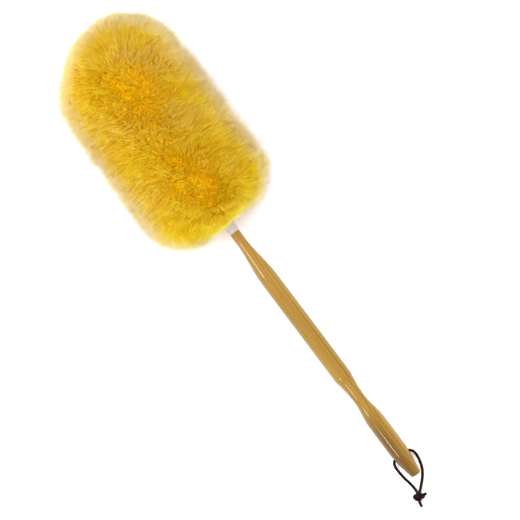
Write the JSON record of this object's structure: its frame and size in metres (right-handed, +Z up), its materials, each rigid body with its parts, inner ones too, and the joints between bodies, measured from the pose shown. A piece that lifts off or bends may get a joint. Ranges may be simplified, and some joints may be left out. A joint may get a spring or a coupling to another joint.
{
  "type": "wheel brush",
  "caption": "Lambswool brush head wound on the slim end of a turned wooden handle, with a plastic collar and a knotted thong through the butt.",
  "frame": {"origin": "on the surface that the brush lies on, under the middle of the box round the handle and head (the thong is not counted)", "axes": "+X along the brush from the butt of the handle to the tip of the head, +Z up, +Y across, along the cross hole"},
  "size_m": [0.6843, 0.16, 0.1708],
  "materials": {
    "varnished_wood": "clear varnished turned wood, honey brown",
    "white_plastic": "milky white moulded plastic, slightly glossy",
    "hide": "tanned sheep hide, undyed underside",
    "tack_steel": "plain steel tack",
    "wool": "combed golden yellow lambswool with paler tips",
    "thong_leather": "round dark brown leather lace"
  },
  "bodies": {
    "brush": {"handle": "varnished_wood", "collar": "white_plastic", "hide_strip": "hide", "tip_disc": "hide", "lower_tack": "tack_steel", "upper_tack": "tack_steel", "tip_tack": "tack_steel", "wool_pile": "wool", "tip_wool": "wool"},
    "thong": {"thong_loop": "thong_leather", "thong_knot": "thong_leather", "thong_long_tail": "thong_leather", "thong_short_tail": "thong_leather"}
  },
  "joints": [
    {"name": "thong_swing", "type": "hinge", "parent": "brush", "child": "thong", "pos_m": [-0.29629, 0, 0.0106], "axis": [0, 1, 0], "range_deg": [-150, 150]}
  ]
}
